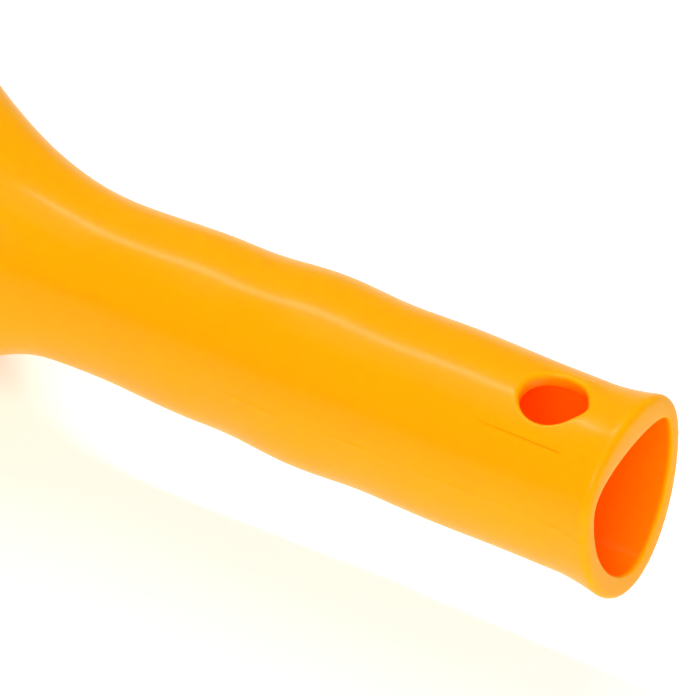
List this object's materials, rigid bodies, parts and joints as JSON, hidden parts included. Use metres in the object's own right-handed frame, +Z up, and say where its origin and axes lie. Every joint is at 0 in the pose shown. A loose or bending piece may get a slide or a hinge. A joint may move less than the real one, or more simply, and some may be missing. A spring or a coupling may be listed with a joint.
{
  "type": "hand scoop",
  "caption": "Moulded plastic hand scoop with a hollow, flared, finger-waved handle, a hang hole and an open-fronted round-cornered bowl.",
  "frame": {"origin": "half way along the scoop and across it, on the plane the bowl stands on", "axes": "+X along the handle out of its open end, the bowl lies towards -X; +Y to the left when looking along +X; +Z up out of the bowl"},
  "size_m": [0.33, 0.1077, 0.064],
  "materials": {
    "orange_plastic": "satin gloss moulded polypropylene, amber orange"
  },
  "bodies": {
    "root": {"end_flare": "orange_plastic", "hang_section": "orange_plastic", "grip_top": "orange_plastic", "grip_underside": "orange_plastic", "neck": "orange_plastic", "bowl_back": "orange_plastic", "bowl_floor": "orange_plastic", "bowl_side_left": "orange_plastic", "bowl_side_right": "orange_plastic", "front_lip": "orange_plastic", "rim_back": "orange_plastic", "rim_left": "orange_plastic", "rim_right": "orange_plastic"}
  },
  "joints": []
}
